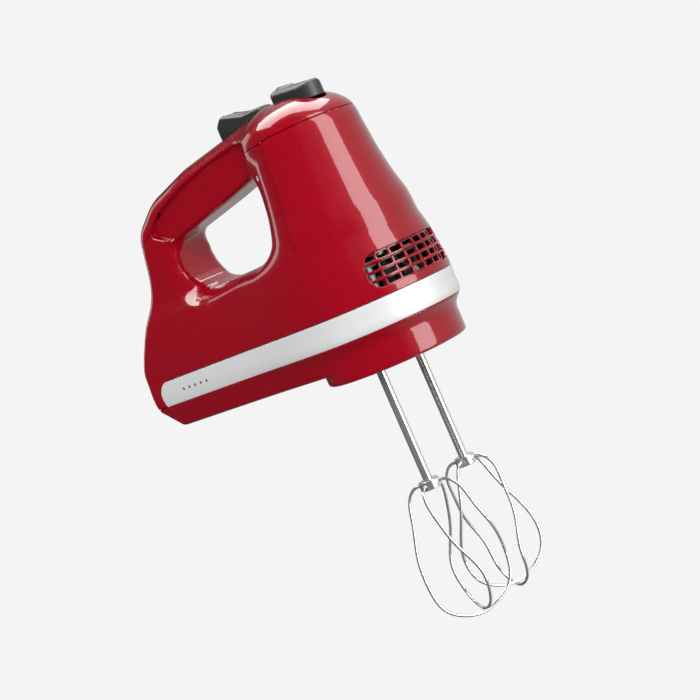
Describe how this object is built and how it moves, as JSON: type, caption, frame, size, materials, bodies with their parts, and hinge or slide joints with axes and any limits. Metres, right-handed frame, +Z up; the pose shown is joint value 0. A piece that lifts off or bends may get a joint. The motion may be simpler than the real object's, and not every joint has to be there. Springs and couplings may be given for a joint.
{
  "type": "hand mixer",
  "caption": "Hand-held electric mixer: moulded red body with a loop handle, silver trim band, geared motor and twisted wire beaters that eject.",
  "frame": {"origin": "centre of the flat heel face at the rear, on which the mixer stands when parked", "axes": "+X forward to the nose, +Y to the user's left, +Z up to the handle, beaters pointing down -Z"},
  "size_m": [0.2036, 0.0872, 0.2886],
  "materials": {
    "red_gloss": "glossy empire red ABS, clear lacquer look",
    "band_silver": "satin silver foil on plastic",
    "control_grey": "satin dark grey ABS",
    "inset_grey": "satin silver-grey",
    "grille_black": "black moulded plastic",
    "beater_steel": "polished stainless steel wire and rod",
    "zinc_steel": "zinc-plated machined steel",
    "die_cast": "as-cast zinc alloy",
    "lamination": "stacked electrical steel",
    "copper": "enamelled copper wire",
    "comm_copper": "turned copper segments",
    "bronze": "oil-filled sintered bronze",
    "nylon": "natural nylon",
    "carbon": "pressed carbon",
    "brush_brass": "brass tube",
    "board_green": "glass-filled board, solder mask",
    "gland_black": "black moulded gland"
  },
  "bodies": {
    "root": {"main_housing": "red_gloss", "top_cover": "red_gloss", "base_housing": "red_gloss", "trim_band": "band_silver", "vent_grille": "red_gloss", "base_screws": "zinc_steel", "stator_core": "lamination", "upper_field_coil": "copper", "lower_field_coil": "copper", "rear_bearing": "bronze", "front_bearing": "bronze", "nose_bearing": "bronze", "rear_bracket": "die_cast", "front_bracket": "die_cast", "gear_frame": "die_cast", "left_lower_bush": "bronze", "left_upper_bush": "bronze", "right_lower_bush": "bronze", "right_upper_bush": "bronze", "left_brush_holder": "brush_brass", "right_brush_holder": "brush_brass", "left_carbon_brush": "carbon", "right_carbon_brush": "carbon", "left_brush_spring": "zinc_steel", "right_brush_spring": "zinc_steel", "rod_guide": "nylon", "speed_switch": "grille_black", "control_board": "board_green", "gland_retainer": "grille_black"},
    "rotor": {"armature_shaft": "zinc_steel", "armature_core": "lamination", "armature_windings": "copper", "commutator": "comm_copper", "cooling_fan": "grille_black"},
    "ejector": {"eject_button": "control_grey", "eject_rod": "nylon", "eject_spring": "zinc_steel"},
    "speed_control": {"speed_slide": "control_grey", "slide_inset": "inset_grey", "switch_rider": "nylon"},
    "cord_swivel": {"cord_gland": "gland_black"},
    "left_drive": {"left_worm_wheel": "nylon", "left_spindle": "zinc_steel", "left_retaining_clip": "zinc_steel"},
    "left_release": {"left_eject_pin": "zinc_steel"},
    "left_beater": {"left_beater_stem": "beater_steel", "left_beater_hub": "beater_steel", "left_outer_loop": "beater_steel", "left_inner_loop": "beater_steel"},
    "right_drive": {"right_worm_wheel": "nylon", "right_spindle": "zinc_steel", "right_retaining_clip": "zinc_steel"},
    "right_release": {"right_eject_pin": "zinc_steel"},
    "right_beater": {"right_beater_stem": "beater_steel", "right_beater_hub": "beater_steel", "right_outer_loop": "beater_steel", "right_inner_loop": "beater_steel"}
  },
  "joints": [
    {"name": "rotor_spin", "type": "hinge", "parent": "root", "child": "rotor", "pos_m": [0.078, 0, 0.008], "axis": [1, 0, 0], "continuous": true},
    {"name": "left_spin", "type": "hinge", "parent": "root", "child": "left_drive", "pos_m": [0.16, 0.0162, 0.008], "axis": [0, 0, 1], "continuous": true},
    {"name": "left_release_press", "type": "slide", "parent": "left_drive", "child": "left_release", "axis": [0, 0, -1], "range_m": [0, 0.006]},
    {"name": "left_beater_pull", "type": "slide", "parent": "left_release", "child": "left_beater", "axis": [0, 0, -1], "range_m": [0, 0.018]},
    {"name": "right_spin", "type": "hinge", "parent": "root", "child": "right_drive", "pos_m": [0.16, -0.0162, 0.008], "axis": [0, 0, 1], "continuous": true},
    {"name": "right_release_press", "type": "slide", "parent": "right_drive", "child": "right_release", "axis": [0, 0, -1], "range_m": [0, 0.006]},
    {"name": "right_beater_pull", "type": "slide", "parent": "right_release", "child": "right_beater", "axis": [0, 0, -1], "range_m": [0, 0.018]},
    {"name": "ejector_press", "type": "slide", "parent": "root", "child": "ejector", "axis": [0, 0, -1], "range_m": [0, 0.006], "stiffness_N_per_m": 700, "springref_m": -0.002, "deforming": ["eject_spring"]},
    {"name": "speed_slide_travel", "type": "slide", "parent": "root", "child": "speed_control", "axis": [0.992, 0, 0.1261], "range_m": [0, 0.009]},
    {"name": "cord_swivel_turn", "type": "hinge", "parent": "root", "child": "cord_swivel", "pos_m": [0.034, 0, -0.018], "axis": [0, 0, 1], "range_deg": [-90, 90]}
  ],
  "couplings": [
    {"joint": "left_spin", "follows": "rotor_spin", "ratio": -0.041667},
    {"joint": "right_spin", "follows": "rotor_spin", "ratio": 0.041667},
    {"joint": "left_release_press", "follows": "ejector_press", "ratio": 1},
    {"joint": "right_release_press", "follows": "ejector_press", "ratio": 1}
  ]
}
